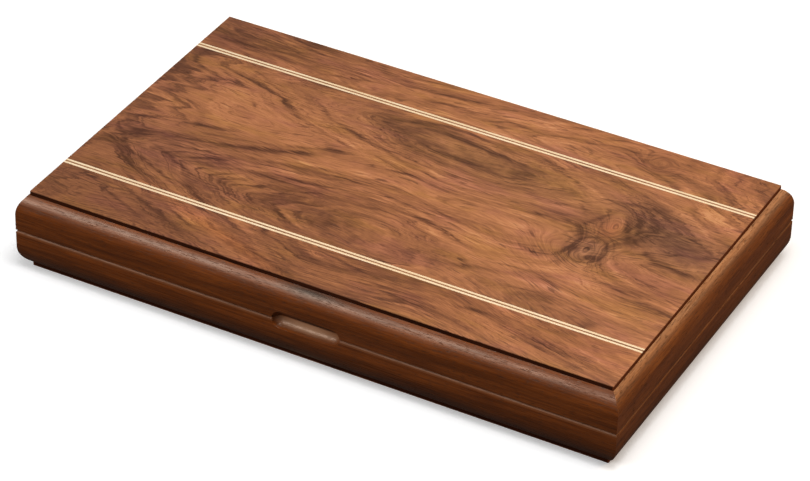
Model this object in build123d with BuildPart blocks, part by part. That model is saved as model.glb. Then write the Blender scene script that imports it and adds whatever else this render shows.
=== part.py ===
from build123d import *
import os
from math import sqrt

# Folding backgammon board: two shallow walnut trays, hinged along one long side and shut into a flat case.
#
# Each half is a mitred frame round a veneered panel. The panel stands a little proud of the frame outside,
# where it carries two lines of inlaid stringing. Its inner face is one half of the playing field: a ground
# veneer with twelve inlaid points. A divider fences off a side rack for the checkers that are borne off.
#
# Sizes are in millimetres. The origin is the middle of the underside, X runs along the case, Y from the
# front, where the finger notch is, to the hinges, and Z is up. The lid mirrors the base above the seam.

# The shut case
case_length = 480.0
case_depth = 295.0
half_height = 32.5  # from the underside to the seam between the halves
seam_gap = 0.2  # air between the two seam faces when the case is shut

# The frame
rail_width = 20.0
panel_reveal = 7.9  # width of rail that shows round the panel
edge_radius = 19.1  # rounding of the outer edge, between the side and the panel
seam_bevel = 0.9
inner_ease = 0.6
tongue_reach = 4.0  # of a mitre tongue into each of its two rails
tongue_width = 12.0
tongue_thickness = 3.0
tongue_gap = 0.1

# The panel
panel_proud = 3.4  # how far it stands out of the frame
panel_gap = 0.3  # the dark line between the panel's edge and the rabbet
outer_veneer = 0.6
core_thickness = 5.0
field_veneer = 0.6
string_light = 2.0  # each of the two pale lines of a stringing
string_dark = 1.35  # the dark line between them
string_inset = 46.4  # from the panel's edge to the middle of the stringing

# The playing field and the side rack
checker_diameter = 34.0
rack_clearance = 1.5
divider_thickness = 5.5
divider_ease = 1.2
housing_depth = 2.0  # of the divider's ends in the side rails
housing_gap = 0.05
block_length = 18.0
block_ease = 1.5
point_length = 175.0
point_gap = 1.2  # ground left between the feet of two neighbouring points
points_in_a_row = 6

# The finger notch across the seam of the front rails, cut with a ball-nosed cutter
notch_length = 54.6
notch_height = 14.0
notch_depth = 6.5

# The magnets in the front rails
magnet_radius = 4.0
magnet_thickness = 3.0
magnet_spacing = 140.0
magnet_gap = 0.05
magnet_sink = 0.1

# The hinges in the back rails
hinge_inset = 90.0  # from the end of the case to the middle of a hinge
hinge_length = 40.0
hinge_setoff = 0.25  # of the pin's axis behind the back of the case
knuckle_radius = 2.75
knuckle_count = 5
knuckle_gap = 0.2
knuckle_relief = 0.3  # air between the knuckles and the wood or the other leaf
pin_radius = 1.25
pin_running_gap = 0.05
leaf_width = 14.0
leaf_thickness = 1.4
leaf_gap = 0.1

# The countersunk hinge screws, two to a leaf
screw_head_radius = 2.3
screw_radius = 1.1
screw_length = 10.0
screw_gap = 0.05
screw_spacing = 22.0
screw_from_axis = 9.0

# Levels in the base, from the underside up
ledge_level = outer_veneer + core_thickness  # the panel's inner face, on which the rails stand
field_level = ledge_level + field_veneer
seam_level = half_height - seam_gap / 2
mortise_level = seam_level - leaf_thickness
seam_plane = Plane.XY.offset(half_height)

# The outer edge of a rail is an arc that leaves the side upright and ends at the panel
arc_start = panel_proud + sqrt(edge_radius**2 - (edge_radius - panel_reveal) ** 2)

# Sizes in plan
inner_length = case_length - 2 * rail_width
inner_depth = case_depth - 2 * rail_width
panel_length = case_length - 2 * (panel_reveal + panel_gap)
panel_depth = case_depth - 2 * (panel_reveal + panel_gap)
string_width = 2 * string_light + string_dark
string_place = panel_depth / 2 - string_inset
rack_width = checker_diameter + rack_clearance
rack_front = -inner_depth / 2
divider_middle = rack_front + rack_width + divider_thickness / 2
field_front = rack_front + rack_width + divider_thickness
point_pitch = (inner_depth / 2 - field_front) / points_in_a_row
point_width = point_pitch - point_gap

# The hinge line
hinge_y = case_depth / 2 + hinge_setoff
hinge_places = {"left": hinge_inset - case_length / 2, "right": case_length / 2 - hinge_inset}
knuckle_width = (hinge_length - (knuckle_count - 1) * knuckle_gap) / knuckle_count
knuckle_pitch = knuckle_width + knuckle_gap
clear_radius = knuckle_radius + knuckle_relief
screw_row = hinge_y - screw_from_axis
screw_places = [(-screw_spacing / 2, 0), (screw_spacing / 2, 0)]

os.makedirs("parts", exist_ok=True)


def export_piece(shape, name):
    """Labels a finished piece and writes it to its own file."""
    shape.label = name
    export_step(shape, f"parts/{name}.step")
    print(f"{name}: {len(shape.solids())} solid, {shape.volume:.0f} mm3")


def export_both_halves(shape, name):
    """Writes a piece of the base, and its mirror image in the lid."""
    export_piece(shape, f"base_{name}")
    with BuildPart() as lid_piece:
        mirror(shape, about=seam_plane)
    export_piece(lid_piece.part, f"lid_{name}")


# Each mitre is held by a loose tongue, set across it out of sight.
def mitre_tongues(gap):
    """The four tongues of one half, or with a gap the slots that take them."""
    x = (case_length - rail_width) / 2
    y = (case_depth - rail_width) / 2
    middle = (ledge_level + seam_level) / 2
    across_mitres = [Location((x * i, y * j, middle), (0, 0, 45 * i * j)) for i in (-1, 1) for j in (-1, 1)]
    with BuildPart() as tongues:
        with Locations(*across_mitres):
            Box(tongue_width + 2 * gap, 2 * (tongue_reach + gap), tongue_thickness + 2 * gap)
    return tongues.part


export_both_halves(mitre_tongues(0), "mitre_tongues")
tongue_slots = mitre_tongues(tongue_gap)

# The four rails share one section. It is drawn on a plane across the rail's end, where X runs inwards from
# the outer face and Y runs up, and the rail is run along the case's side and mitred at both ends.
rail_ends = {
    "front": (Plane((-case_length / 2, -case_depth / 2, 0), x_dir=(0, 1, 0), z_dir=(1, 0, 0)), case_length),
    "right": (Plane((case_length / 2, -case_depth / 2, 0), x_dir=(-1, 0, 0), z_dir=(0, 1, 0)), case_depth),
    "back": (Plane((case_length / 2, case_depth / 2, 0), x_dir=(0, -1, 0), z_dir=(-1, 0, 0)), case_length),
    "left": (Plane((-case_length / 2, case_depth / 2, 0), x_dir=(1, 0, 0), z_dir=(0, -1, 0)), case_depth),
}


def mitred_rail(side):
    """A rail of the base, mitred and slotted for its tongues."""
    end, length = rail_ends[side]
    along, inwards = end.z_dir, end.x_dir
    far_end = end.origin + along * length
    mitre_corners = [
        end.origin,
        far_end,
        far_end + (inwards - along) * rail_width,
        end.origin + (inwards + along) * rail_width,
    ]
    with BuildPart() as rail:
        with BuildSketch(end):
            with BuildLine():
                outer_arc = TangentArc((0, arc_start), (panel_reveal, panel_proud), tangent=(0, -1))
                Polyline(
                    outer_arc @ 1,
                    (panel_reveal, ledge_level),
                    (rail_width, ledge_level),
                    (rail_width, seam_level - inner_ease),
                    (rail_width - inner_ease, seam_level),
                    (seam_bevel, seam_level),
                    (0, seam_level - seam_bevel),
                    outer_arc @ 0,
                )
            make_face()
        extrude(amount=length)
        with BuildSketch(Plane.XY):
            with BuildLine():
                Polyline(*[(corner.X, corner.Y) for corner in mitre_corners], close=True)
            make_face()
        extrude(amount=half_height, mode=Mode.INTERSECT)
        add(tongue_slots, mode=Mode.SUBTRACT)
    return rail.part


# The notch is a capsule, half of it in each front rail, with its axis just outside the front of the case.
notch_radius = (notch_depth**2 + (notch_height / 2) ** 2) / (2 * notch_depth)
notch_axis_y = notch_depth - notch_radius - case_depth / 2
notch_axis = Axis((0, notch_axis_y, half_height), (1, 0, 0))

with BuildPart() as notch:
    with BuildSketch(seam_plane):
        with Locations((0, notch_axis_y)):
            SlotOverall(notch_length - notch_height + 2 * notch_radius, 2 * notch_radius)
            Rectangle(case_length, case_depth, align=(Align.CENTER, Align.MAX), mode=Mode.SUBTRACT)
    revolve(axis=notch_axis)

front_blank = mitred_rail("front")
front_middle = (rail_width - case_depth) / 2
magnet_level = seam_level - magnet_sink - magnet_thickness

with BuildPart() as front_rail:
    add(front_blank)
    add(notch.part, mode=Mode.SUBTRACT)
    with BuildSketch(Plane.XY.offset(magnet_level)):
        with Locations((-magnet_spacing / 2, front_middle), (magnet_spacing / 2, front_middle)):
            Circle(magnet_radius + magnet_gap)
    extrude(amount=half_height, mode=Mode.SUBTRACT)
export_both_halves(front_rail.part, "front_rail")

with BuildPart() as magnets:
    with BuildSketch(Plane.XY.offset(magnet_level)):
        with Locations((-magnet_spacing / 2, front_middle), (magnet_spacing / 2, front_middle)):
            Circle(magnet_radius)
    extrude(amount=magnet_thickness)
export_both_halves(magnets.part, "magnets")

# The side rails are housed out for the ends of the rack divider, which stands on the field veneer.
for side in ("left", "right"):
    side_blank = mitred_rail(side)
    with BuildPart() as side_rail:
        add(side_blank)
        with BuildSketch(Plane.XY.offset(field_level)):
            with Locations((0, divider_middle)):
                Rectangle(inner_length + 2 * housing_depth, divider_thickness + 2 * housing_gap)
        extrude(amount=half_height, mode=Mode.SUBTRACT)
    export_both_halves(side_rail.part, f"{side}_rail")

# The back rails carry the hinges: a mortise for each leaf, a cove for the knuckles and holes for the screws.
back_blank = mitred_rail("back")
cove_length = hinge_length + 2 * knuckle_relief

with BuildPart() as back_rail:
    add(back_blank)
    for x in hinge_places.values():
        with BuildSketch(Plane((x, hinge_y, mortise_level))):
            Rectangle(hinge_length + 2 * leaf_gap, leaf_width + leaf_gap, align=(Align.CENTER, Align.MAX))
        extrude(amount=half_height, mode=Mode.SUBTRACT)
        with BuildSketch(Plane((x, hinge_y, half_height), x_dir=(0, 1, 0), z_dir=(1, 0, 0))):
            Circle(clear_radius)
        extrude(amount=cove_length / 2, both=True, mode=Mode.SUBTRACT)
        with BuildSketch(Plane((x, screw_row, mortise_level))):
            with Locations(*screw_places):
                Circle(screw_radius + screw_gap)
        extrude(amount=leaf_thickness - screw_length - screw_gap, mode=Mode.SUBTRACT)
export_both_halves(back_rail.part, "back_rail")

# The panel: a core, faced outside with three leaves of figured veneer parted by two lines of stringing.
with BuildPart() as panel_core:
    with BuildSketch(Plane.XY.offset(outer_veneer)):
        Rectangle(panel_length, panel_depth)
    extrude(amount=core_thickness)
export_both_halves(panel_core.part, "panel_core")

band_depth = string_inset - string_width / 2
band_middle = (panel_depth - band_depth) / 2
veneer_leaves = {
    "veneer_front_band": (-band_middle, band_depth),
    "veneer_centre": (0, panel_depth - 2 * (band_depth + string_width)),
    "veneer_back_band": (band_middle, band_depth),
}
for name, (middle, depth) in veneer_leaves.items():
    with BuildPart() as veneer_leaf:
        with BuildSketch():
            with Locations((0, middle)):
                Rectangle(panel_length, depth)
        extrude(amount=outer_veneer)
    export_both_halves(veneer_leaf.part, name)

with BuildPart() as stringing_dark:
    with BuildSketch():
        with Locations((0, -string_place), (0, string_place)):
            Rectangle(panel_length, string_dark)
    extrude(amount=outer_veneer)
export_both_halves(stringing_dark.part, "stringing_dark")

with BuildPart() as stringing_light:
    with BuildSketch():
        with Locations((0, -string_place), (0, string_place)):
            Rectangle(panel_length, string_width)
            Rectangle(panel_length, string_dark, mode=Mode.SUBTRACT)
    extrude(amount=outer_veneer)
export_both_halves(stringing_light.part, "stringing_light")


# The points stand in a row of six at each end of the field, with their feet on the side rails.
def field_points(shades):
    """A sketch of the points of the given shades, where the shades 0 and 1 take turns along a row."""
    with BuildSketch(Plane.XY.offset(ledge_level)) as points:
        for end in (-1, 1):
            for place in range(points_in_a_row):
                if (place + (end + 1) // 2) % 2 in shades:
                    foot = end * inner_length / 2
                    middle = field_front + (place + 0.5) * point_pitch
                    with BuildLine():
                        Polyline(
                            (foot, middle - point_width / 2),
                            (foot - end * point_length, middle),
                            (foot, middle + point_width / 2),
                            close=True,
                        )
                    make_face()
    return points.sketch


all_points = field_points((0, 1))
with BuildPart() as field_ground:
    with BuildSketch(Plane.XY.offset(ledge_level)):
        Rectangle(inner_length, inner_depth)
    extrude(amount=field_veneer)
    extrude(all_points, amount=field_veneer, mode=Mode.SUBTRACT)
export_both_halves(field_ground.part, "field_ground")

# The shades run on across the bar when the board is open, so the lid has them the other way round.
for shade, base_name, lid_name in ((0, "points_light", "points_dark"), (1, "points_dark", "points_light")):
    shade_points = field_points((shade,))
    with BuildPart() as base_points:
        extrude(shade_points, amount=field_veneer)
    export_piece(base_points.part, f"base_{base_name}")
    with BuildPart() as lid_points:
        mirror(base_points.part, about=seam_plane)
    export_piece(lid_points.part, f"lid_{lid_name}")

# The divider is housed in the side rails, and a block at its middle parts the rack into two trays.
with BuildPart() as rack_divider:
    with BuildSketch(Plane.XY.offset(field_level)):
        with Locations((0, divider_middle)):
            Rectangle(inner_length + 2 * (housing_depth - housing_gap), divider_thickness)
    extrude(amount=seam_level - field_level)
    fillet(rack_divider.edges().group_by(Axis.Z)[-1].filter_by(Axis.X), divider_ease)
export_both_halves(rack_divider.part, "rack_divider")

with BuildPart() as rack_block:
    with BuildSketch(Plane((0, rack_front, field_level))):
        Rectangle(block_length, rack_width, align=(Align.CENTER, Align.MIN))
    extrude(amount=seam_level - divider_ease - field_level)
    fillet(rack_block.edges().group_by(Axis.Z)[-1].filter_by(Axis.Y), block_ease)
export_both_halves(rack_block.part, "rack_block")


# A butt hinge has two leaves let into the seam faces, with knuckles that take turns along one pin.
def hinge_leaf(own_knuckles, other_knuckles):
    """A leaf in the base at x = 0, cut away round the knuckles of the other leaf."""
    pin_end = Plane((-hinge_length / 2, hinge_y, half_height), x_dir=(0, 1, 0), z_dir=(1, 0, 0))
    other_middles = [(n * knuckle_pitch + (knuckle_width - hinge_length) / 2, 0) for n in other_knuckles]
    with BuildPart() as leaf:
        with BuildSketch(Plane((0, hinge_y, mortise_level))):
            Rectangle(hinge_length, leaf_width, align=(Align.CENTER, Align.MAX))
            with Locations(*other_middles):
                Rectangle(knuckle_width + 2 * knuckle_gap, 2 * clear_radius, mode=Mode.SUBTRACT)
        extrude(amount=leaf_thickness)
        for n in own_knuckles:
            with BuildSketch(pin_end.offset(n * knuckle_pitch)):
                Circle(knuckle_radius)
            extrude(amount=knuckle_width)
        with BuildSketch(pin_end):
            Circle(pin_radius + pin_running_gap)
        extrude(amount=hinge_length, mode=Mode.SUBTRACT)
        with Locations(Plane((0, screw_row, mortise_level))):
            with Locations(*screw_places):
                Cone(
                    screw_radius + screw_gap,
                    screw_head_radius + screw_gap,
                    leaf_thickness,
                    align=(Align.CENTER, Align.CENTER, Align.MIN),
                    mode=Mode.SUBTRACT,
                )
    return leaf.part


base_knuckles = range(0, knuckle_count, 2)
lid_knuckles = range(1, knuckle_count, 2)
base_leaf = hinge_leaf(base_knuckles, lid_knuckles)
lid_leaf = hinge_leaf(lid_knuckles, base_knuckles)

for place, x in hinge_places.items():
    with BuildPart() as base_hinge_leaf:
        with Locations((x, 0)):
            add(base_leaf)
    export_piece(base_hinge_leaf.part, f"base_{place}_hinge_leaf")
    with BuildPart() as placed_lid_leaf:
        with Locations((x, 0)):
            add(lid_leaf)
    with BuildPart() as lid_hinge_leaf:
        mirror(placed_lid_leaf.part, about=seam_plane)
    export_piece(lid_hinge_leaf.part, f"lid_{place}_hinge_leaf")

# The pin runs right through the knuckles and ends flush with the outer ones.
for place, x in hinge_places.items():
    with BuildPart() as hinge_pin:
        with BuildSketch(Plane((x, hinge_y, half_height), x_dir=(0, 1, 0), z_dir=(1, 0, 0))):
            Circle(pin_radius)
        extrude(amount=hinge_length / 2, both=True)
    export_piece(hinge_pin.part, f"{place}_hinge_pin")

# The screws' heads fill the countersinks, which go right through the leaves.
with BuildPart() as hinge_screw:
    with BuildSketch(Plane.XZ):
        with BuildLine():
            Polyline(
                (0, 0),
                (screw_head_radius, 0),
                (screw_radius, -leaf_thickness),
                (screw_radius, -screw_length),
                (0, -screw_length),
                close=True,
            )
        make_face()
    revolve(axis=Axis.Z)

with BuildPart() as hinge_screws:
    for x in hinge_places.values():
        with Locations(Plane((x, screw_row, seam_level))):
            with Locations(*screw_places):
                add(hinge_screw.part)
export_both_halves(hinge_screws.part, "hinge_screws")
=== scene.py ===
# %% [markdown]
# # A folding backgammon board in figured walnut
#
# The board is a flat case of two shallow trays. Each tray is a mitred walnut frame round a veneered panel,
# and two lines of pale stringing are let into the panel. Two brass butt hinges join the trays at the back,
# and a finger notch opens them at the front. The packed model gives every piece its size, place and motion.
# This lesson gives the pieces their eased edges and their finishes, and sets up the camera and the lights.
#
# The first cell loads the packed model. Every object is in metres, in the model's own frame: X runs along
# the case, Y from the front to the hinges, and Z up.

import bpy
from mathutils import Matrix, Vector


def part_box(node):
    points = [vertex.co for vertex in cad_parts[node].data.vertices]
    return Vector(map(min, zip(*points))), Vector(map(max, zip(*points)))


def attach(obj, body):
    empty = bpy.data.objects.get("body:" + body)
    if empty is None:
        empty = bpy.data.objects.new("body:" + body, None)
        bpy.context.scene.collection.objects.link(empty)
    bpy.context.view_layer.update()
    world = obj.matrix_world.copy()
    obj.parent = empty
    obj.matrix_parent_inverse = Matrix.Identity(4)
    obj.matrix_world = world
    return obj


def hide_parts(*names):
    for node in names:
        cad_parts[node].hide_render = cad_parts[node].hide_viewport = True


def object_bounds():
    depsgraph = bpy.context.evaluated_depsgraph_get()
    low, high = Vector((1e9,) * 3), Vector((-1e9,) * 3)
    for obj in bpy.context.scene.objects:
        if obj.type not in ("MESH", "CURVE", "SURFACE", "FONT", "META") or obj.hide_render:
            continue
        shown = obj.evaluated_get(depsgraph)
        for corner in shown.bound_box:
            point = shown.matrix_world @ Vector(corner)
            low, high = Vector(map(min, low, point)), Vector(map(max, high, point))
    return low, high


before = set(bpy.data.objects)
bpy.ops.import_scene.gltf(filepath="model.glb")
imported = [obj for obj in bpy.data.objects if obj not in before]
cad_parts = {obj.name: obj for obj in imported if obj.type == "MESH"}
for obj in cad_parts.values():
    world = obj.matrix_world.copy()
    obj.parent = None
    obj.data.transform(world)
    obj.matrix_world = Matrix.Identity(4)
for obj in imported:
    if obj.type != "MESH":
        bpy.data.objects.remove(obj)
cad_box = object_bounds()

# %% [markdown]
# The sizes that the finishes need are read from the packed model, so a change of size there moves the
# patterns here too. Patterns in wood are thought of in millimetres, because that is how a maker measures.
# The knuckles of the hinges stand out behind the frame, so the depth of the frame is read from a side rail.

# %% Sizes from the model
from math import e, radians

import bmesh
import bpy
from mathutils import Matrix, Vector

MM = 0.001
TOUCH = 0.05 * MM  # two places nearer than this are the same place
case_low, case_high = cad_box
frame_corner = Vector((case_high.x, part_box("lid_left_rail")[1].y))
panel_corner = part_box("lid_panel_core")[1]
seam_level = (case_low.z + case_high.z) / 2
print("case", [round(size / MM, 1) for size in case_high - case_low], "mm")

# %% [markdown]
# ## The camera
#
# A photographer stands back with a long lens when a case has to keep its square corners. A camera can be
# placed with a Track To constraint or by hand. Here its place and the point it looks at are known, so its
# axes are worked out from them, and a small roll follows the photograph, whose level was a little off.

# %% The camera
camera_place = Vector((0.99764, -1.90274, 1.51052))
camera_aim = Vector((0.00217, -0.00599, 0.02337))
camera_roll = radians(1.43)
camera_lens = 160.05

bpy.ops.object.select_all(action="DESELECT")
bpy.ops.object.camera_add(location=camera_place)
camera = bpy.context.object
camera.data.lens = camera_lens
looking = (camera_aim - camera_place).to_track_quat("-Z", "Y").to_matrix()
rolled = looking @ Matrix.Rotation(camera_roll, 3, "Z")
camera.matrix_world = Matrix.Translation(camera_place) @ rolled.to_4x4()
bpy.context.scene.camera = camera
print("camera", round((camera_place - camera_aim).length, 3), "m away")

# %% [markdown]
# ## The shader's arithmetic
#
# A procedural finish is a graph of small nodes. Linking dozens of them by hand hides the idea, so a small
# class wraps an output socket and turns Python's own + - * / into Math nodes.

# %% A socket that can be added and multiplied


class Shade:
    """An output of a finish's node graph. Arithmetic on it adds Math nodes."""

    def __init__(self, finish, socket):
        self.finish = finish
        self.socket = socket

    def __add__(self, other):
        return self.finish.maths("ADD", self, other)

    __radd__ = __add__

    def __sub__(self, other):
        return self.finish.maths("SUBTRACT", self, other)

    def __rsub__(self, other):
        return self.finish.maths("SUBTRACT", other, self)

    def __mul__(self, other):
        return self.finish.maths("MULTIPLY", self, other)

    __rmul__ = __mul__

    def __truediv__(self, other):
        return self.finish.maths("DIVIDE", self, other)

    def __pow__(self, power):
        return self.finish.maths("POWER", self, power)

    def __abs__(self):
        return self.finish.maths("ABSOLUTE", self)


print("arithmetic for shades is ready")

# %% [markdown]
# A second class holds one material. Its method `node` adds any kind of node: the settings come first, then
# the values or links of its sockets. The other methods are short names for the nodes that wood needs most.

# %% One material and its nodes
endless = 1e6  # a size so large that a pattern doesn't change in its direction


class Finish:
    """One procedural material. Its patterns follow the place of the wood or metal in the object, in mm."""

    def __init__(self, name, constants):
        self.material = bpy.data.materials.new(name)
        self.material.use_nodes = True
        self.nodes = self.material.node_tree.nodes
        self.links = self.material.node_tree.links
        self.surface = self.nodes["Principled BSDF"]
        for socket, value in constants.items():
            self.surface.inputs[socket].default_value = value
        metres = self.node("ShaderNodeTexCoord", {}, {}, "Object")
        self.place = self.node("ShaderNodeVectorMath", {"operation": "SCALE"}, {0: metres, "Scale": 1 / MM})

    def node(self, kind, settings, sockets, output=0):
        """Adds a node, sets it up, feeds its sockets and gives one of its outputs."""
        node = self.nodes.new(kind)
        for name, value in settings.items():
            if name == "stops":
                while len(node.color_ramp.elements) < len(value):
                    node.color_ramp.elements.new(1)
                for element, (position, tint) in zip(node.color_ramp.elements, value):
                    element.position = position
                    element.color = tint
            else:
                setattr(node, name, value)
        for name, value in sockets.items():
            self.feed(node.inputs[name], value)
        return Shade(self, node.outputs[output])

    def feed(self, socket, value):
        """Links a shade to a socket, or sets the socket to a plain value."""
        if isinstance(value, Shade):
            self.links.new(value.socket, socket)
        else:
            socket.default_value = value

    def dress(self, **sockets):
        """Feeds the surface: a name such as Base_Color stands for the socket Base Color."""
        for name, value in sockets.items():
            self.feed(self.surface.inputs[name.replace("_", " ")], value)

    def worn_by(self, name):
        """The shade that a socket of the surface wears by now, to be changed further."""
        return Shade(self, self.surface.inputs[name].links[0].from_socket)

    def maths(self, operation, *values):
        """Arithmetic on numbers."""
        return self.node("ShaderNodeMath", {"operation": operation}, dict(enumerate(values)))

    def parts(self, vector):
        """The three parts of a vector, each a number."""
        split = self.node("ShaderNodeSeparateXYZ", {}, {"Vector": vector}).socket.node
        return [Shade(self, output) for output in split.outputs]

    def vector(self, x, y, z=0.0):
        """A vector from three numbers."""
        return self.node("ShaderNodeCombineXYZ", {}, {"X": x, "Y": y, "Z": z})

    def laid(self, vector, middle=(0, 0, 0), turn=0, size=(1, 1, 1)):
        """A pattern's own coordinates: it is centred on middle, turned about Z and stretched to size."""
        return self.node(
            "ShaderNodeMapping",
            {"vector_type": "TEXTURE"},
            {"Vector": vector, "Location": middle, "Rotation": (0, 0, radians(turn)), "Scale": size},
        )

    def noise(self, vector, detail=2.0, roughness=0.5):
        """Soft noise from 0 to 1, with blots about one unit across."""
        return self.node(
            "ShaderNodeTexNoise",
            {},
            {"Vector": vector, "Scale": 1.0, "Detail": detail, "Roughness": roughness},
        )

    def step(self, value, low, high, start=0.0, end=1.0):
        """Goes smoothly from start to end while value goes from low to high."""
        return self.node(
            "ShaderNodeMapRange",
            {"interpolation_type": "SMOOTHSTEP"},
            {"Value": value, "From Min": low, "From Max": high, "To Min": start, "To Max": end},
        )

    def fading(self, away):
        """1 where away is 0, and fading to 0 as it grows."""
        return self.maths("POWER", 1 / e, away)

    def length(self, vector):
        """The length of a vector."""
        return self.node("ShaderNodeVectorMath", {"operation": "LENGTH"}, {0: vector}, "Value")

    def mound(self, place, middle, size, turn):
        """A soft oval mound on the board, 1 at its middle."""
        away = self.laid(place, (*middle, 0), turn, (*size, endless))
        square = self.node("ShaderNodeVectorMath", {"operation": "DOT_PRODUCT"}, {0: away, 1: away}, "Value")
        return self.fading(square)

    def mixed(self, factor, first, second, how="MIX"):
        """Two colours mixed: the first where factor is 0, the second where it is 1."""
        return self.node(
            "ShaderNodeMix",
            {"data_type": "RGBA", "blend_type": how},
            {0: factor, 6: first, 7: second},
            2,
        )

    def ramp(self, value, stops):
        """A colour for each value, blended between stops."""
        return self.node("ShaderNodeValToRGB", {"stops": stops}, {"Fac": value}, "Color")

    def relief(self, height, depth):
        """A normal from a relief: height from 0 to 1, depth in mm."""
        return self.node("ShaderNodeBump", {}, {"Height": height, "Strength": 1.0, "Distance": depth * MM})


print("steps of a finish", [name for name in vars(Finish) if not name.startswith("_")])

# %% [markdown]
# A colour is picked on a screen, where each of its parts goes from 0 to 255. Shaders reckon with amounts of
# light, and a screen doesn't show twice the number as twice the light, so each part is turned back first.

# %% Colours


def colour(red, green, blue):
    """A colour as it shows on a screen, from 0 to 255, turned to the linear values that shaders use."""
    def linear(value):
        share = value / 255
        return share / 12.92 if share <= 0.04045 else ((share + 0.055) / 1.055) ** 2.4
    return (linear(red), linear(green), linear(blue), 1.0)


print("a mid walnut brown", [round(part, 3) for part in colour(153, 101, 69)])

# %% [markdown]
# ## Floor and light
#
# The case lies on a pale sheet, as in a catalogue. White could come from a lot of light, but that would
# bleach the wood. Instead the Light Path node tells rays apart: the camera sees a white sheet, while the
# light that the sheet throws back at the wood is that of a dark one. Reflections see a little of its white,
# because the polished rails would show the whole of it as a grey haze.

# %% The floor
floor_drop = 0.1 * MM
floor_size = 16
white = (1, 1, 1, 1)
black = (0, 0, 0, 1)
paper_white = colour(246, 246, 246)
paper_for_light = colour(34, 29, 24)  # the colour that the light of the lamps meets
paper_glow = 0.25  # what the white sheet adds of its own, which keeps the shadow pale
white_in_reflections = 0.06

bpy.ops.object.select_all(action="DESELECT")
bpy.ops.mesh.primitive_plane_add(size=floor_size, location=(0, 0, case_low.z - floor_drop))
floor = bpy.context.object
floor.name = "floor"

paper = Finish("pale_paper", {"Roughness": 0.9, "Specular IOR Level": 0.0, "Emission Strength": paper_glow})
seen = 0.0
for ray, share in (("Is Camera Ray", 1), ("Is Transmission Ray", 1), ("Is Glossy Ray", white_in_reflections)):
    seen = paper.maths("MAXIMUM", paper.node("ShaderNodeLightPath", {}, {}, ray) * share, seen)
paper.dress(
    Base_Color=paper.mixed(seen, paper_for_light, paper_white),
    Emission_Color=paper.mixed(seen, black, white),
)
floor.data.materials.append(paper.material)
print("floor at", round(floor.location.z / MM, 2), "mm")

# %% [markdown]
# Most of the light falls from one large soft lamp overhead. Two smaller panels are there for what they do to
# the edges: the one at the front left gives the front rounding its sheen, and the warm one low behind the
# right end draws a bright line along the right rounding. An even room fills the rest.

# %% The room and the lamps
room_light = 0.2
warm_light = (1.0, 0.72, 0.46)

world = bpy.data.worlds.new("white_room")
bpy.context.scene.world = world
world.use_nodes = True
room = world.node_tree
background = room.nodes["Background"]
background.inputs["Color"].default_value = white
rays = room.nodes.new("ShaderNodeLightPath")
strength = room.nodes.new("ShaderNodeMapRange")
strength.inputs["To Min"].default_value = room_light
strength.inputs["To Max"].default_value = 1.0
room.links.new(rays.outputs["Is Camera Ray"], strength.inputs["Value"])
room.links.new(strength.outputs["Result"], background.inputs["Strength"])


def add_lamp(name, place, width, height, power):
    """A rectangular soft lamp that looks at the board."""
    bpy.ops.object.light_add(type="AREA", location=place)
    lamp = bpy.context.object
    lamp.name = name
    lamp.data.shape = "RECTANGLE"
    lamp.data.size = width
    lamp.data.size_y = height
    lamp.data.energy = power
    lamp.rotation_euler = (-Vector(place)).to_track_quat("-Z", "Y").to_euler()
    return lamp


add_lamp("overhead_lamp", (0.4, -0.35, 2.2), width=1.4, height=1.2, power=34)
add_lamp("front_panel", (-0.95, -1.62, 1.20), width=1.2, height=0.7, power=15)
rim_panel = add_lamp("rim_panel", (1.3, 1.75, 0.85), width=1.0, height=1.0, power=25)
rim_panel.data.color = warm_light
bpy.context.scene.view_settings.view_transform = "Standard"

# %% [markdown]
# ## The figured veneer
#
# A veneer shows the tree's rings cut at a low angle, so its lines are the contour lines of a landscape:
# long nested eyes where the knife grazed a swelling, and rings round a knot. A picture of wood could be
# wrapped on, but it would repeat and blur. Here the landscape itself is written down: a few long hills,
# joined softly, plus small sharp peaks for the knots. Every ring then follows by itself. Places are in mm
# from the middle of the panel, with X to the right and Y away from the finger notch.

# %% The hills and knots of the landscape
# Each hill: middle, half length and half width, turn in degrees, height, and the power of its outline, where
# 1 is pointed and 2 is oval.
hills = {
    "front_eye": ((-5, -60), (86, 33), 1, 0.1, 1.6),
    "front_nest": ((-10, -74), (180, 58), -8, -0.15, 1.3),
    "front_ridge": ((245, -100), (300, 50), -9, 0.0, 1.6),
    "back_eye": ((20, 62), (150, 36), -6, 0.05, 1.5),
    "left_slope": ((-330, 35), (72, 120), 0, 0.2, 2.0),
    "back_slope": ((-40, 195), (190, 62), 5, 0.3, 2.0),
    "right_slope": ((300, 130), (110, 60), -20, 0.2, 2.0),
}
hill_join = 0.35  # how softly the hills run into each other
hill_tops = -0.35  # the height at which the knife has cut the tops of the hills flat

# Each knot: middle, half length and half width, turn in degrees, height, and how dark its bark is.
knots = {
    "great_knot": ((147, -5), (13, 17), 0, 1.3, 0.36),
    "red_eye": ((150, 30), (9, 14), 0, 0.6, 0.18),
    "back_knot": ((145, 119), (13, 10), 0, 0.6, 0.10),
}

# Each tongue of the flames: its level in Y, its half width, and how far it throws the rings to the right.
tongues = {
    "back": (76, 8, -14),
    "upper": (59, 9, 34),
    "notch": (40, 6, 14),
    "small": (13, 6, 18),
    "lower": (-3, 12, 44),
}
tongues_middle = (-185, 38)  # the tongues lie at the left end, and fade away from this place
tongues_reach = (52, 80)


def from_knot(finish, place, middle, size, turn):
    """How far a place is from the middle of a knot, in the knot's own half length and half width."""
    return finish.length(finish.laid(place, (*middle, 0), turn, (*size, 1)))


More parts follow.
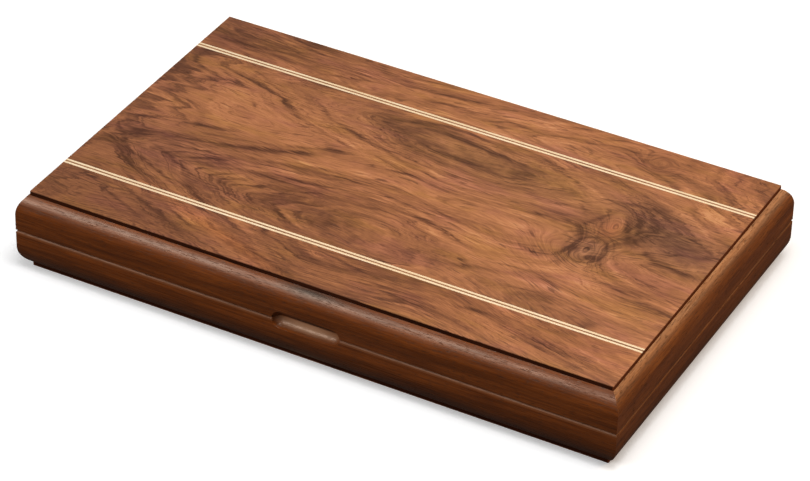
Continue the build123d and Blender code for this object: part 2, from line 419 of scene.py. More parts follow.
def landscape(finish, place):
    """The height of the veneer's landscape at a place, in rings."""
    height = None
    for middle, size, turn, top, power in hills.values():
        along, across, _ = finish.parts(finish.laid(place, (*middle, 0), turn, (*size, 1)))
        hill = top - (abs(along) ** power + abs(across) ** power) ** (1 / power)
        height = hill if height is None else finish.maths("SMOOTH_MAX", height, hill, hill_join)
    for middle, size, turn, top, _ in knots.values():
        height = height + finish.fading(from_knot(finish, place, middle, size, turn)) * top
    return finish.maths("SMOOTH_MIN", height, hill_tops, hill_join)


print("hills", len(hills), "knots", len(knots), "tongues", len(tongues))

# %% [markdown]
# Rings alone look like a map. Real wood also has broad stains, where minerals or the heartwood darken it.
# They are placed one by one, as a painter of false grain would: each is a soft oval, and the sum of them
# makes the wood paler or darker.

# %% Stains
# Each stain: middle, half length and half width, turn in degrees, and how much paler it makes the wood.
stains = {
    "pale_flame": ((-145, 32), (66, 32), -14, 0.05),
    "pale_corner": ((-196, 82), (20, 12), -20, 0.14),
    "dark_left_end": ((-226, 30), (24, 78), 0, -0.13),
    "back_eye": ((15, 60), (90, 20), -6, -0.12),
    "front_eye": ((-20, -66), (80, 22), -6, -0.20),
    "pale_eye_tip": ((-108, -52), (22, 8), -20, 0.14),
    "dark_nest": ((-185, -48), (48, 24), -20, -0.16),
    "grey_field": ((198, 34), (40, 20), -32, -0.17),
    "grey_hollow": ((172, 48), (14, 24), 20, -0.15),
    "great_knot": ((150, -2), (26, 24), 0, -0.02),
    "knot_shade": ((140, 44), (16, 22), -10, -0.12),
    "pale_right": ((175, -62), (75, 26), -14, 0.15),
    "pale_middle": ((30, -2), (80, 16), -4, 0.08),
    "pale_back_right": ((208, 72), (34, 16), -20, 0.14),
    "pale_streak": ((-82, -119), (62, 5), -20, 0.20),
    "front_band": ((-100, -128), (170, 24), 0, -0.24),
    "back_band": ((-190, 120), (60, 22), 0, -0.12),
    "pale_back": ((60, 103), (60, 8), 0, 0.12),
    "dark_front_left": ((-216, -104), (34, 36), 0, -0.16),
    "pale_by_knot": ((86, 0), (28, 30), 0, 0.09),
    "pale_above_knot": ((142, 74), (26, 14), 0, 0.13),
    "dark_right": ((204, -2), (28, 26), -10, -0.09),
    "dark_back": ((-30, 118), (34, 16), 0, -0.10),
}


def staining(finish, place):
    """How much paler or darker the broad stains make the wood at a place."""
    tone = 0.0
    for middle, size, turn, strength in stains.values():
        tone = tone + finish.mound(place, middle, size, turn) * strength
    return tone


print("stains", len(stains))

# %% [markdown]
# Where the rings crowd together they show as short dark streaks, some no wider than a pencil line. These are
# narrow ovals. A renderer can hold only so many values at once, so the streaks are added up in regions, one
# region after the other.

# %% Dark streaks
# Each streak: middle, half length and half width, turn in degrees, and how much darker it makes the wood.
streaks = {
    "flame": (
        ((-191, 68), (20, 1.3), -23, 0.35),
        ((-176, 59), (8, 3.0), -10, 0.60),
        ((-187, 55), (13, 1.1), 15, 0.30),
        ((-190, 43), (8, 1.8), -50, 0.30),
        ((-191, 18), (11, 2.4), -32, 0.40),
        ((-168, -3), (12, 2.4), 5, 0.50),
        ((-196, -10), (36, 1.3), 14, 0.35),
        ((-107, -6), (27, 2.8), 20, 0.45),
        ((-87, 2), (7, 3.2), 15, 0.45),
    ),
    "nest": (
        ((-165, -23), (36, 1.4), 13, 0.40),
        ((-209, -36), (11, 1.6), 50, 0.35),
        ((-209, -48), (13, 1.6), -45, 0.35),
        ((-166, -71), (38, 1.4), -23, 0.35),
        ((-158, -34), (28, 1.4), 9, 0.35),
        ((-160, -55), (31, 1.4), -25, 0.35),
        ((-117, -69), (17, 1.2), -12, 0.25),
        ((-134, -41), (8, 8.0), 0, 0.22),
        ((-87, -38), (24, 2.0), 2, 0.45),
        ((-66, -32), (18, 1.3), 3, 0.35),
        ((-18, -26), (26, 1.2), 4, 0.30),
        ((30, -30), (20, 1.9), -11, 0.50),
        ((62, -40), (16, 1.1), -24, 0.30),
    ),
    "upper_left": (
        ((-171, 77), (2.0, 7), 10, 0.30),
        ((-160, 69), (12, 1.3), -35, 0.30),
        ((-120, 89), (46, 1.0), 1, 0.30),
        ((-57, 84), (10, 1.8), 6, 0.40),
        ((-127, 53), (9, 1.2), -19, 0.30),
        ((-146, 50), (10, 1.2), -30, 0.28),
        ((-151, 41), (7, 1.8), -35, 0.35),
        ((-100, 58), (11, 1.5), -45, 0.30),
        ((-70, 45), (18, 1.6), -16, 0.45),
        ((-25, 35), (28, 1.2), -8, 0.40),
        ((-48, 46), (11, 1.1), -14, 0.30),
        ((25, 26), (24, 1.1), -8, 0.28),
        ((-66, 16), (7, 3.0), 20, 0.45),
        ((-90, 8), (26, 1.7), 20, 0.30),
        ((-12, 15), (12, 1.6), 5, 0.50),
        ((37, 19), (9, 1.5), 0, 0.35),
    ),
    "middle": (
        ((30, 72), (34, 1.0), -7, 0.30),
        ((15, 52), (26, 2.2), -4, 0.30),
        ((95, 72), (20, 1.4), -24, 0.40),
        ((74, 67), (7, 1.4), -20, 0.35),
        ((97, 18), (6, 1.8), 5, 0.40),
        ((92, 6), (6, 1.3), -10, 0.30),
        ((103, -6), (5, 1.5), -35, 0.45),
        ((113, -26), (7, 1.4), -20, 0.50),
        ((140, -53), (11, 1.9), -20, 0.50),
        ((185, -37), (18, 1.9), -9, 0.45),
        ((78, -62), (7, 1.5), -55, 0.40),
    ),
    "knots": (
        ((165, 44), (26, 2.4), -72, 0.35),
        ((184, 11), (16, 3.0), -32, 0.45),
        ((214, 3), (24, 2.6), -6, 0.45),
        ((210, 42), (26, 1.4), -30, 0.30),
        ((137, -7), (4, 5), 0, 0.40),
        ((152, -13), (6, 4), 30, 0.50),
        ((146, -2), (2.4, 3.0), 0, 0.65),
        ((131, -12), (2, 12), 12, 0.15),
        ((137, 36), (16, 2.0), 62, 0.30),
        ((161, 31), (14, 2.6), -66, 0.35),
        ((152, 62), (14, 1.6), 10, 0.25),
        ((120, 44), (14, 1.4), -60, 0.22),
    ),
    "bands": (
        ((-150, 128), (30, 1.3), -8, 0.35),
        ((-190, 112), (30, 1.6), 6, 0.35),
        ((-100, 110), (26, 1.3), 14, 0.35),
        ((-30, 124), (40, 1.2), 6, 0.30),
        ((35, 114), (16, 1.5), -4, 0.40),
        ((15, -106), (20, 1.6), -10, 0.35),
        ((110, -109), (12, 1.8), 5, 0.40),
        ((60, -122), (34, 1.1), -6, 0.30),
        ((-150, -112), (34, 1.4), -24, 0.35),
        ((-190, -108), (30, 1.3), -26, 0.35),
    ),
}


def streaking(finish, place):
    """How much darker the streaks make the wood at a place.

    A region waits for the sum of those before it, because that sum rides in the Z of its place. There a mound
    is endless, so the sum changes nothing.
    """
    x, y, _ = finish.parts(place)
    tone = 0.0
    for region in streaks.values():
        waiting = finish.vector(x, y, tone)
        for middle, size, turn, strength in region:
            tone = tone + finish.mound(waiting, middle, size, turn) * strength
    return tone


print("streaks", sum(map(len, streaks.values())), "in regions", list(streaks))

# %% [markdown]
# Stains change the hue too: some turn walnut grey or purple, others olive or orange. The same soft ovals
# hold these tints, which multiply the colour of the wood.

# %% Tints
# Each tint: middle, half length and half width, turn in degrees, and how it changes the wood's colour.
tints = {
    "grey_field": ((196, 34), (46, 24), -32, (0.86, 0.95, 1.10, 1)),
    "great_knot": ((147, -5), (15, 18), 0, (0.90, 0.98, 1.12, 1)),
    "red_eye": ((150, 26), (8, 14), 0, (1.04, 0.90, 0.95, 1)),
    "purple_nest": ((-170, -45), (60, 30), -16, (0.95, 0.94, 1.10, 1)),
    "olive_eye": ((20, 60), (90, 20), -6, (0.95, 1.02, 0.95, 1)),
    "orange_streak": ((-82, -119), (66, 6), -20, (1.08, 0.98, 0.88, 1)),
    "cool_back_right": ((110, 50), (150, 80), -10, (1.00, 1.06, 1.11, 1)),
}


def tinted(finish, place, wood):
    """The wood's colour with its tints."""
    for middle, size, turn, tint in tints.values():
        wood = finish.mixed(finish.mound(place, middle, size, turn), wood, tint, "MULTIPLY")
    return wood


print("tints", len(tints))

# %% [markdown]
# The finish puts these layers together. It starts with the place. That is swayed a little and torn along the
# grain, which turns smooth contour lines into feathered flames, except at a knot, where the wood is too
# gnarled to tear. Each layer of noise is given by the length and width of its blots in mm, so that its grain
# is easy to picture.

# %% Where the grain runs
knot_spread = 2.2  # how far a knot keeps its surroundings from tearing, in its own radii
sway_along = 22
sway_across = 14
tear_reach = 38  # how far the rings are torn along the grain, in mm
fibre_sway = 40
fibre_drop = 42  # how far the fibres slope down at the front right
fibre_parting = 1.6  # how widely the fibres part round a knot


def blots(finish, x, y, length, width, layer, detail, roughness):
    """Noise with blots of a length and a width in mm. Each layer is another slice of the same noise."""
    return finish.noise(finish.vector(x / length, y / width, layer), detail, roughness)


def knot_cover(finish, place):
    """Rises to 1 in the middle of a knot."""
    cover = 0.0
    for middle, (length, width), turn, _, _ in knots.values():
        cover = cover + finish.mound(place, middle, (knot_spread * length, knot_spread * width), turn)
    return finish.maths("MINIMUM", cover, 1.0)


def torn_place(finish, place, x, y, whole):
    """Where on the landscape a point of the veneer lies. Whole is 1 where the grain isn't torn."""
    sway_x = blots(finish, x, y, length=70, width=45, layer=3.0, detail=3.0, roughness=0.55) - 0.5
    sway_y = blots(finish, x, y, length=80, width=40, layer=9.0, detail=3.0, roughness=0.55) - 0.5
    tear = blots(finish, x, y, length=55, width=7, layer=0.0, detail=5.0, roughness=0.62) - 0.5
    tear = tear * (1 - whole)
    throw = 0.0
    for level, half_width, reach in tongues.values():
        throw = throw + finish.fading(abs(y - level) / half_width) * reach
    throw = throw * finish.mound(place, tongues_middle, tongues_reach, 0)
    return finish.vector(x - throw + sway_x * sway_along + tear * tear_reach, y + sway_y * sway_across)


def fibre_level(finish, x, y):
    """The level of the fibre that runs through a point, in mm. Fibres flow round the knots like water."""
    wander = blots(finish, x, y, length=150, width=60, layer=5.0, detail=2.0, roughness=0.5) - 0.5
    level = y + wander * fibre_sway
    level = level + finish.step(x, 50, 230, 0, fibre_drop) * finish.step(y, 30, -30)
    for (knot_x, knot_y), (_, width), _, _, _ in knots.values():
        off = y - knot_y
        square = (x - knot_x) ** 2 + off * off
        level = level - off * (width * width * fibre_parting) / (square + width * width)
    return level


print("rings are torn by up to", tear_reach / 2, "mm either way")

# %% [markdown]
# Now the layers are added up to one number, the tone of the wood: 0 is its darkest and 1 its palest. Broad
# bands, rings and thin lines follow the height of the landscape, and fibres follow the grain. Noise lies
# about 0.5, so that much is taken off, and the number after it is its share of the tone.

# %% How dark the wood is
nest = ((-165, -64), (66, 40), -14)  # where fine lines lie untorn, one inside the other
shore = -1.38  # the height of the dark line that edges the flames at the left end
# Each ring of bark: how far out it lies, in the knot's own radii, how thin it is, and its share of the bark.
bark_rings = ((1.0, 14, 1.0), (1.35, 16, 0.5))


def contours(finish, height, x, y, crowding, length, detail, roughness):
    """Noise that follows the contour lines. Crowding is how fast it changes with height."""
    return finish.noise(finish.vector(height * crowding, x / length, y / length), detail, roughness)


def barking(finish, place, wander):
    """How dark the bark that is grown in round the knots makes the wood."""
    tone = 0.0
    for middle, size, turn, _, bark in knots.values():
        away = from_knot(finish, place, middle, size, turn) + wander
        for radius, thinness, share in bark_rings:
            tone = tone + finish.fading(abs(away - radius) * thinness) * (bark * share)
    return tone


def veneer_tone(finish, place, x, y):
    """The tone of the wood, and the level of the fibre that runs there."""
    cover = knot_cover(finish, place)
    nested = finish.mound(place, *nest)
    whole = finish.maths("MAXIMUM", cover, nested * 0.85)
    height = landscape(finish, torn_place(finish, place, x, y, whole))
    fibre_y = fibre_level(finish, x, y)

    patches = blots(finish, x, y, length=46, width=16, layer=2.0, detail=3.0, roughness=0.6)
    clear = finish.step(patches, 0.35, 0.6, 0.5, 1.0)
    broad = contours(finish, height, x, y, crowding=2.6, length=200, detail=2.0, roughness=0.5)
    rings = contours(finish, height, x, y, crowding=8, length=90, detail=5.0, roughness=0.74)
    lines = contours(finish, height, x, y, crowding=14, length=140, detail=2.0, roughness=0.5)
    thin_lines = 1 - finish.step(abs(lines - 0.5), 0.0, 0.05)
    fibres = blots(finish, x, fibre_y, length=16, width=1.3, layer=0.0, detail=4.0, roughness=0.68)
    feather = blots(finish, x, fibre_y, length=22, width=1.6, layer=6.0, detail=3.0, roughness=0.6)
    valley = finish.step(height, -1.50, -1.36, 1.0, 0.0)
    left_end = finish.step(x, -110, -170)

    # The rings are quiet in a valley and on a knot, and clear only in some patches.
    quiet = (1 - valley * 0.7) * (1 - cover * 0.4)
    tone = 0.5 + (broad - 0.5) * 0.8 + (rings - 0.5) * clear * quiet * 2.0 + (patches - 0.5) * 0.3
    tone = tone + (fibres - 0.5) * 0.85 + valley * 0.07 + staining(finish, place)
    tone = tone - thin_lines * (finish.step(patches, 0.40, 0.6) * 0.26 + nested * 0.16)
    tone = tone - finish.fading(abs(height - shore) * 32) * left_end * 0.35
    tone = tone - barking(finish, place, (patches - 0.5) * 0.5)

    # The streaks are frayed along the fibres, but hardly on a knot.
    loose = 1 - cover * 0.8
    frayed = finish.vector(x + (feather - 0.5) * 26 * loose, y + (fibres - 0.5) * 2.4)
    tone = tone - streaking(finish, frayed) * finish.step(feather, 0.30, 0.6, 0.3, 1.1)
    return tone, fibre_y


print("rings of bark", len(bark_rings), "round each of", len(knots), "knots")

# %% [markdown]
# The tone chooses a colour, and patches of purple and of olive keep the leaf from being all of one hue. The
# open pores are drawn last, because they darken the wood, roughen it and sink below its surface. One figure
# serves both panels: the next leaf from the same log goes on the underside, turned end for end.

# %% The veneer's finish
satin = {"Specular IOR Level": 0.25}  # a thin film of oil shines little
veneer_stops = (
    (0.00, colour(88, 51, 31)),
    (0.25, colour(122, 75, 48)),
    (0.50, colour(158, 101, 64)),
    (0.75, colour(186, 121, 79)),
    (1.00, colour(208, 146, 99)),
)
purple = (0.95, 0.89, 1.10, 1.0)
olive = (0.95, 1.0, 0.80, 1.0)
hue_share = 0.9
pore_tint = colour(78, 46, 30)
veneer_pore_depth = 0.05


def figured_walnut(name):
    """The panel's veneer. The mapping of its place is named leaf, so that a copy can turn it."""
    finish = Finish(name, satin)
    place = finish.laid(finish.place, size=(1, 1, endless))
    place.socket.node.name = "leaf"
    x, y, _ = finish.parts(place)
    tone, fibre_y = veneer_tone(finish, place, x, y)
    wood = tinted(finish, place, finish.ramp(tone, veneer_stops))
    hue = blots(finish, x, y, length=60, width=22, layer=14.0, detail=3.0, roughness=0.6)
    wood = finish.mixed(finish.step(hue, 0.5, 0.68, 0.0, hue_share), wood, purple, "MULTIPLY")
    wood = finish.mixed(finish.step(hue, 0.5, 0.32, 0.0, hue_share), wood, olive, "MULTIPLY")

    pores = blots(finish, x, fibre_y, length=14, width=1.5, layer=4.0, detail=1.0, roughness=0.5)
    pore_rows = blots(finish, x, fibre_y, length=60, width=12, layer=8.0, detail=2.0, roughness=0.5)
    open_pores = finish.step(pores, 0.57, 0.64) * finish.step(pore_rows, 0.42, 0.62)
    finish.dress(
        Base_Color=finish.mixed(open_pores * 0.55, wood, pore_tint),
        Roughness=0.45 + open_pores * 0.25,
        Normal=finish.relief(1 - open_pores, veneer_pore_depth),
    )
    return finish.material


lid_veneer = figured_walnut("figured_walnut_lid")
base_veneer = lid_veneer.copy()
base_veneer.name = "figured_walnut_base"
base_veneer.node_tree.nodes["leaf"].inputs["Scale"].default_value = (-1, -1, endless)
print("veneer nodes", len(lid_veneer.node_tree.nodes))

# %% [markdown]
# ## Solid wood and metal
#
# Straight grain is noise that is stretched along the board. One function makes every plain wood of it: broad
# bands, fine lines between them, and short open pores. A wood then needs only two colours and a few sizes,
# so a table holds the stringing, the points, the ground of the field and the beech of the hidden tongues.

# %% Straight-grained woods
wood_pore_depth = 0.03

# Each plain wood: its dark and its light colour, the length and width of its grain in mm, its roughness, and
# how dark its pores are.
plain_woods = {
    "light_wood": (colour(238, 206, 162), colour(254, 231, 196), (60, 1.2), 0.45, 0.25),
    "stringing_core": (colour(134, 88, 56), colour(160, 110, 74), (60, 1.6), 0.45, 0.3),
    "dark_wood": (colour(66, 33, 18), colour(98, 54, 32), (60, 1.6), 0.45, 0.5),
    "field_ground": (colour(152, 106, 68), colour(186, 138, 94), (80, 2.5), 0.45, 0.5),
    "beech": (colour(196, 152, 108), colour(220, 180, 136), (20, 1.5), 0.6, 0.4),
}


def grain(finish, along, length, width, detail, roughness, seed=0.0):
    """Noise with blots of a length and a width in mm, stretched along the axis 0 (X) or 1 (Y)."""
    size = [width] * 3
    size[along] = length
    return finish.noise(finish.laid(finish.place, (seed, seed, seed), 0, tuple(size)), detail, roughness)


def straight_wood(
    name, along, stops, grain_size, roughness, pore_share, gloss=satin, seed=0.0, pore_size=(5.0, 0.32)
):
    """A wood whose grain runs along the axis 0 (X) or 1 (Y), with a length and a width in mm."""
    finish = Finish(name, gloss)
    length, width = grain_size
    broad = grain(finish, along, length, width, 3.0, 0.55, seed)
    fine = grain(finish, along, length * 0.35, width * 0.22, 3.0, 0.6, seed)
    open_pores = finish.step(grain(finish, along, *pore_size, 1.0, 0.5, seed), 0.58, 0.70)
    wood = finish.ramp(0.5 + (broad - 0.5) * 1.3 + (fine - 0.5) * 1.1, stops)
    pore_dark = tuple(part * 0.45 for part in stops[0][1][:3]) + (1.0,)
    finish.dress(
        Base_Color=finish.mixed(open_pores * pore_share, wood, pore_dark),
        Roughness=roughness + open_pores * 0.2,
        Normal=finish.relief(1 - open_pores, wood_pore_depth),
    )
    return finish


woods = {}
for wood, (dark, light, grain_size, roughness, pore_share) in plain_woods.items():
    stops = ((0.3, dark), (0.7, light))
    woods[wood] = straight_wood(wood, 0, stops, grain_size, roughness, pore_share).material
print("plain woods", list(woods))

# %% [markdown]
# The rails are straight-grained walnut, stained darker than the panel and oiled. Light and shade are painted
# on them: painted shade in the groove at the seam, round the underside and under the lid's lip in the finger
# notch, and painted highlights along the edge below the front seam and on the floor of the finger notch. Each
# mark is a mask made from two sizes: how far inwards and how far above the seam.

# %% The walnut of the rails
rail_grain = (60, 3.0)
rail_pores = (6.0, 0.5)
sheen_streaks = (30, 0.8)
# Painted shade: the dark colour towards which the seam groove, the underside and the notch's lip are
# darkened.
painted_shade_tint = colour(30, 14, 6)
# Painted highlight along the edge below the front seam.
seam_highlight_tint = colour(160, 106, 72)
# Painted highlight on the floor of the finger notch.
notch_highlight_tint = colour(202, 148, 110)
notch_floor = (0, case_low.y / MM + 6)  # the middle of the painted highlight and shadow in the notch, near its full depth
notch_paint_size = (24, 2.7)  # the half length and half width of that painted patch
front_stops = (
    (0.10, colour(86, 38, 8)),
    (0.50, colour(114, 54, 13)),
    (0.90, colour(142, 72, 24)),
)
side_stops = (
    (0.10, colour(88, 41, 10)),
    (0.50, colour(119, 60, 18)),
    (0.90, colour(152, 84, 32)),
)
front_gloss = {"Specular IOR Level": 0.7, "Specular Tint": (1.0, 0.78, 0.62, 1.0)}
side_gloss = {"Specular IOR Level": 0.6, "Specular Tint": (1.0, 0.62, 0.32, 1.0)}


def walnut_rail(name, along, stops, gloss, roughness, seed, seam_highlight):
    """The rails' walnut, with painted shade and painted highlights. Their steps are in mm.

    The last argument is how strongly a highlight is painted on the edge below the seam, from 0 to 1; the
    painted shade in the groove is weakened as much.
    """
    finish = straight_wood(name, along, stops, rail_grain, roughness, 0.75, gloss, seed, rail_pores)
    x, y, z = finish.parts(finish.place)
    inwards = frame_corner.x / MM - abs(x) if along else frame_corner.y / MM - abs(y)
    rim = finish.step(inwards, 1.6, 1.0)
    above_seam = z - seam_level / MM
    # Painted shade in the groove at the seam, where the wood is also rougher.
    shaded_groove = finish.step(abs(above_seam), 1.4, 1.0) * rim * (1 - seam_highlight)
    # Painted highlight on the edge just below the seam, which widens the lit bevel.
    edge = finish.step(abs(above_seam + 1.2), 1.6, 0.8) * rim * seam_highlight
    # Painted shade: the rails grow darker towards the bottom, near their outer face.
    shade_below = finish.step(above_seam, -2, -20, 0.0, 0.4) * finish.step(inwards, 14, 10)
    # Where the notch's painted highlight and painted shadow lie.
    notch = finish.mound(finish.vector(x, y), notch_floor, notch_paint_size, 0)
    # Painted highlight on the lower half of the notch, below the seam.
    notch_highlight = notch * finish.step(above_seam, 0.6, -0.8)
    # Painted shadow in the upper half of the notch, just under the lid's lip.
    lip_shadow = notch * finish.step(above_seam, -0.1, 0.6, 0.0, 0.95)
    sheen = grain(finish, along, *sheen_streaks, 3.0, 0.6)
    # The painted highlights below the seam and on the floor of the notch.
    wood = finish.mixed(edge, finish.worn_by("Base Color"), seam_highlight_tint)
    wood = finish.mixed(notch_highlight * 0.9, wood, notch_highlight_tint)
    finish.dress(
        # The painted shade of the seam groove, the underside and the notch's lip darkens the wood here.
        Base_Color=finish.mixed(finish.maths("MAXIMUM", shaded_groove * 0.25, shade_below + lip_shadow), wood, painted_shade_tint),
        Roughness=finish.worn_by("Roughness") + shaded_groove * 0.3 + (sheen - 0.5) * 0.5,
    )
    return finish.material


rail_along_x = walnut_rail(
    "walnut_rail_along_x", 0, front_stops, front_gloss, roughness=0.30, seed=0.0, seam_highlight=0.3
)
rail_along_y = walnut_rail(
    "walnut_rail_along_y", 1, side_stops, side_gloss, roughness=0.42, seed=31.0, seam_highlight=0.0
)
print("rails", rail_along_x.name, rail_along_y.name)

# %% [markdown]
# The panel stands proud of its frame, and its edge is stained nearly black, which sets the figured leaf off
# like a thin shadow. At its two ends the edge is painted paler: a painted highlight, as on an end that faces
# the light.

# %% The panel's edge
stain_stops = ((0.3, colour(46, 18, 7)), (0.7, colour(68, 29, 11)))
# The paler colour painted at the two ends, as painted light.
lit_end_tint = colour(120, 58, 24)


def stained_edge(name):
    """The panel's edge, stained nearly black, with painted light that makes it paler at the two ends."""
    finish = straight_wood(name, 0, stain_stops, (60, 1.6), 0.6, 0.5, {"Specular IOR Level": 0.1})
    x, _, _ = finish.parts(finish.place)
    # Painted highlight: the two ends of the edge are painted paler, as an end that faces the light.
    lit_ends = finish.step(abs(x), panel_corner.x / MM - 1.0, panel_corner.x / MM - 0.5)
    finish.dress(Base_Color=finish.mixed(lit_ends * 0.8, finish.worn_by("Base Color"), lit_end_tint))
    return finish.material


panel_edge = stained_edge("stained_panel_edge")
print("panel's edge", panel_edge.name)

# %% [markdown]
# Brass is sawn, filed and drawn along the hinge, so its fine scratches run that way. Worn and tarnished
# places take turns over the leaf, which soft noise mixes from two tints.

# %% Metals
brush_stroke = (6.0, 0.12)
worn_patch = (5.0, 5.0)
brush_depth = 0.004


def metal(name, tint, roughness, scratch):
    """A metal with faint brushing and worn patches."""
    finish = Finish(name, {"Metallic": 1.0})
    brushing = grain(finish, 0, *brush_stroke, 2.0, 0.6)
    wear = grain(finish, 0, *worn_patch, 3.0, 0.6)
    dull = tuple(part * 0.72 for part in tint[:3]) + (1.0,)
    finish.dress(
        Base_Color=finish.mixed(finish.step(wear, 0.35, 0.65), dull, tint),
        Roughness=roughness + (brushing - 0.5) * scratch + (wear - 0.5) * 0.15,
        Normal=finish.relief(brushing, brush_depth),
    )
    return finish.material


brass = metal("brass", colour(214, 172, 96), roughness=0.3, scratch=0.3)
nickel = metal("nickel_plate", colour(200, 198, 192), roughness=0.25, scratch=0.15)
print("metals", brass.name, nickel.name)

# %% [markdown]
# ## Easing the edges
#
# A joiner never leaves an edge sharp: a stroke of fine paper rounds it by a fraction of a millimetre, and
# that thin rounded line is what catches the light. The packed node is loose triangles and stays as it is.
# A copy of it is merged first, and its flat faces are made whole.

# %% Copying a piece
merge_distance = 0.001 * MM
flat_angle = radians(0.5)  # faces that meet at less than this are one flat face


def only(piece):
    """Makes a piece the one selected object."""
    bpy.ops.object.select_all(action="DESELECT")
    piece.select_set(True)
    bpy.context.view_layer.objects.active = piece


def merged_copy(node, body):
    """A copy of a node's mesh with whole faces, which stands for the node and rides on its body."""
    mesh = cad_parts[node].data.copy()
    piece = bpy.data.objects.new(f"finished_{node}", mesh)
    mesh.name = piece.name
    bpy.context.scene.collection.objects.link(piece)
    only(piece)
    bpy.ops.mesh.customdata_custom_splitnormals_clear()
    bpy.ops.object.mode_set(mode="EDIT")
    bpy.ops.mesh.select_all(action="SELECT")
    bpy.ops.mesh.remove_doubles(threshold=merge_distance)
    bpy.ops.mesh.dissolve_limited(angle_limit=flat_angle)
    bpy.ops.object.mode_set(mode="OBJECT")
    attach(piece, body)
    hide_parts(node)
    return piece


print("nodes to copy", len(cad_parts))

# %% [markdown]
# In edit mode the sharp edges are picked by the angle between their faces, and one bevel rounds them all.
# The shading is then made smooth over the bevel and broken where an edge is still sharp, so flat faces stay
# flat.

# %% Easing and finishing a piece
sharp_angle = radians(20)
smooth_angle = radians(30)
ease_segments = 2


def ease(piece, radius, wanted=lambda edge: True):
    """Rounds the sharp edges of a piece for which wanted says yes, and tells how many they are."""
    only(piece)
    bpy.ops.object.mode_set(mode="EDIT")
    bpy.context.tool_settings.mesh_select_mode = (False, True, False)
    bpy.ops.mesh.select_all(action="DESELECT")
    mesh = bmesh.from_edit_mesh(piece.data)
    whole = [edge for edge in mesh.edges if edge.is_manifold]
    sharp = [edge for edge in whole if edge.calc_face_angle() > sharp_angle and wanted(edge)]
    for edge in sharp:
        edge.select_set(True)
    bmesh.update_edit_mesh(piece.data)
    if sharp:
        bpy.ops.mesh.bevel(
            offset=radius, segments=ease_segments, profile=0.5, affect="EDGES", clamp_overlap=True
        )
    bpy.ops.object.mode_set(mode="OBJECT")
    return len(sharp)


def finish_piece(piece, material):
    """Shades a piece smoothly up to its sharp edges and gives it its finish."""
    only(piece)
    bpy.ops.object.shade_smooth_by_angle(angle=smooth_angle)
    piece.data.materials.clear()
    piece.data.materials.append(material)


print("edges are eased in", ease_segments, "steps")

# %% [markdown]
# ## The rails
#
# The rails of each half meet in mitres that are glued and sanded flush, so the mitred ends stay crisp. A
# point lies in a mitre where it is as far from the end of the frame as from its side. The finger notch was
# cut through both halves while they were shut, so its edges at the seam stay crisp too.

# %% The rails of both halves
rail_ease = 0.3 * MM
notch_half_length = 28 * MM  # the notch ends just before this, on both sides of the middle
notch_shallow = 1 * MM
notch_deep = 7 * MM  # just beyond its full depth
seam_reach = 0.5 * MM


def on_mitre(edge):
    """True if an edge lies in the mitred end of a rail, where it meets its neighbour."""
    def from_mitre(point):
        return (frame_corner.y - abs(point.y)) - (frame_corner.x - abs(point.x))
    return all(abs(from_mitre(vertex.co)) < TOUCH for vertex in edge.verts)


def in_notch(edge):
    """True if an edge lies where the seam crosses the finger notch."""
    def crossed(point):
        deep = notch_shallow < point.y - case_low.y < notch_deep
        return deep and abs(point.x) < notch_half_length and abs(point.z - seam_level) < seam_reach
    return all(crossed(vertex.co) for vertex in edge.verts)


for half in ("base", "lid"):
    for side in ("front", "back", "left", "right"):
        rail = merged_copy(f"{half}_{side}_rail", half)
        eased = ease(rail, rail_ease, lambda edge: not (on_mitre(edge) or in_notch(edge)))
        finish_piece(rail, rail_along_x if side in ("front", "back") else rail_along_y)
        print(rail.name, "eased edges", eased, "faces", len(rail.data.polygons))

# %% [markdown]
# ## The panel
#
# Three leaves of veneer and the lines of stringing lie flush, so only the outer edge of the panel is eased.

# %% The panels of both halves
panel_ease = 0.25 * MM


def on_rim(edge):
    """True if an edge is on the outer edge of a panel's outer face."""
    def at_rim(point):
        outer = min(abs(point.z - case_low.z), abs(point.z - case_high.z)) < TOUCH
        return outer and min(abs(abs(point.x) - panel_corner.x), abs(abs(point.y) - panel_corner.y)) < TOUCH
    return all(at_rim(vertex.co) for vertex in edge.verts)


for half, veneer in (("base", base_veneer), ("lid", lid_veneer)):
    for part, material, slot in (
        ("veneer_front_band", veneer, "figured_veneer"),
        ("veneer_centre", veneer, "figured_veneer"),
        ("veneer_back_band", veneer, "figured_veneer"),
        ("stringing_light", woods["light_wood"], "light_wood"),
        ("stringing_dark", woods["stringing_core"], "dark_wood"),
    ):
        leaf = merged_copy(f"{half}_{part}", half)
        ease(leaf, panel_ease, on_rim)
        finish_piece(leaf, material)
    finish_piece(merged_copy(f"{half}_panel_core", half), panel_edge)
print("panels finished")

# %% [markdown]
# ## The playing field and the rack
#
# Opened flat, the two halves make one board with twenty-four points. A marquetry cutter saws the points and
# the ground from veneers of one thickness and presses them flat together, so here they get colours and no
# bevels: an eased edge would show as a groove that a checker could catch on. The grain runs along the points,
# because a tip cut across it would break off. The rack beside the field is solid, so its divider and block
# are eased like the rails, and so are the beech tongues that hold the mitres together from inside.

# %% The field, its points and the rack
for half in ("base", "lid"):
    for part, material, slot in (
        ("field_ground", woods["field_ground"], "field_ground"),
        ("points_light", woods["light_wood"], "light_wood"),
        ("points_dark", woods["dark_wood"], "dark_wood"),
    ):
        finish_piece(merged_copy(f"{half}_{part}", half), material)
    for part, material, slot in (
        ("rack_divider", rail_along_x, "walnut_rail"),
        ("rack_block", rail_along_x, "walnut_rail"),
        ("mitre_tongues", woods["beech"], "beech"),
    ):
        piece = merged_copy(f"{half}_{part}", half)
        eased = ease(piece, rail_ease)
        finish_piece(piece, material)
        print(piece.name, "eased edges", eased)

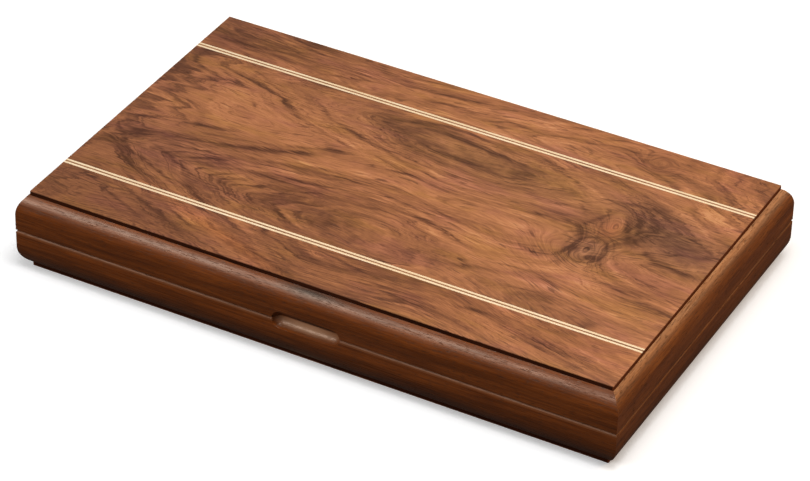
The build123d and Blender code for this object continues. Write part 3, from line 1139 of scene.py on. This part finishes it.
# %% [markdown]
# ## The hinges, screws and magnets
#
# A butt hinge is two brass leaves rolled round a pin. The leaves are let into the seam faces and held by
# countersunk screws, and each head has a slot for the driver. A slot could be drawn with a dark colour, but
# it would not catch the light, so it is sawn: a thin box is placed across each head, in line with the hinge
# as a careful fitter leaves them, and taken away with a Boolean modifier.

# %% Slots in the screw heads
slot_length = 6 * MM
slot_width = 0.7 * MM
slot_depth = 0.5 * MM
hinge_middle = 150 * MM  # from the middle of the case to the middle of a hinge
screw_spread = 11 * MM  # from the middle of a hinge to each of its screws


def saw_slots(screws):
    """Cuts a slot across each of the four heads, which lie in one level at the seam."""
    low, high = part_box(screws.name.replace("finished_", ""))
    head_level = high.z if screws.name.startswith("finished_base") else low.z
    row = (low.y + high.y) / 2
    for middle in (-hinge_middle, hinge_middle):
        for spread in (-screw_spread, screw_spread):
            bpy.ops.object.select_all(action="DESELECT")
            bpy.ops.mesh.primitive_cube_add(size=1, location=(middle + spread, row, head_level))
            saw = bpy.context.object
            saw.scale = (slot_length, slot_width, 2 * slot_depth)
            only(screws)
            cut = screws.modifiers.new("slot", "BOOLEAN")
            cut.operation = "DIFFERENCE"
            cut.object = saw
            bpy.ops.object.modifier_apply(modifier=cut.name)
            bpy.data.objects.remove(saw)


print("slot", round(slot_width / MM, 2), "mm wide and", round(slot_depth / MM, 2), "mm deep")

# %% [markdown]
# Metal is cleaned up with a fine file, so its edges are eased less than those of wood. The magnets are
# plated discs let into the seam faces of the front rails, where they hold the case shut without a catch.

# %% Brass and nickel
metal_ease = 0.15 * MM

for half in ("base", "lid"):
    for part, material, slot in (
        ("left_hinge_leaf", brass, "brass"),
        ("right_hinge_leaf", brass, "brass"),
        ("hinge_screws", brass, "brass"),
        ("magnets", nickel, "magnet"),
    ):
        piece = merged_copy(f"{half}_{part}", half)
        if part == "hinge_screws":
            saw_slots(piece)
        eased = ease(piece, metal_ease)
        finish_piece(piece, material)
        print(piece.name, "eased edges", eased, "faces", len(piece.data.polygons))
for side in ("left", "right"):
    pin = merged_copy(f"{side}_hinge_pin", "base")
    ease(pin, metal_ease)
    finish_piece(pin, brass)

# %% [markdown]
# Easing takes a little off and adds nothing, so the finished case fills the same box as the packed model.
